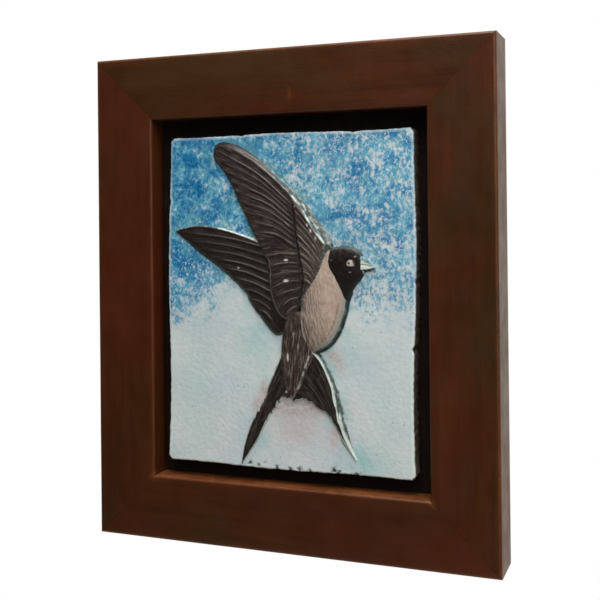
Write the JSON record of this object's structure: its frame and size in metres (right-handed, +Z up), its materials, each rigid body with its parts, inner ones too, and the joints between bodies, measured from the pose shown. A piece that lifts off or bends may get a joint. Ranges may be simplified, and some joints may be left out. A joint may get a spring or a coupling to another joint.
{
  "type": "framed ceramic relief tile",
  "caption": "Wall-hung shadow-box frame of mitred dark wood around a glazed ceramic tile with a flying swallow in relief.",
  "frame": {"origin": "middle of the hanger plate's flat outer face, at the middle of the top rail's back, where the panel hangs", "axes": "+Z up, +X to the viewer's right, +Y out of the back into the wall; the swallow faces -Y"},
  "size_m": [0.2542, 0.0305, 0.3002],
  "materials": {
    "stained_wood": "dark brown stain under a satin lacquer",
    "glazed_ceramic": "painted and glazed earthenware: sponged blue sky, dark brown-black swallow with a cream belly",
    "black_board": "hardboard painted matt black",
    "zinc_plated_steel": "thin zinc-plated steel"
  },
  "bodies": {
    "root": {"frame_rail_top": "stained_wood", "frame_rail_bottom": "stained_wood", "frame_rail_left": "stained_wood", "frame_rail_right": "stained_wood", "backing_board": "black_board", "relief_tile": "glazed_ceramic", "sawtooth_hanger": "zinc_plated_steel", "hanger_nail_left": "zinc_plated_steel", "hanger_nail_right": "zinc_plated_steel"}
  },
  "joints": []
}
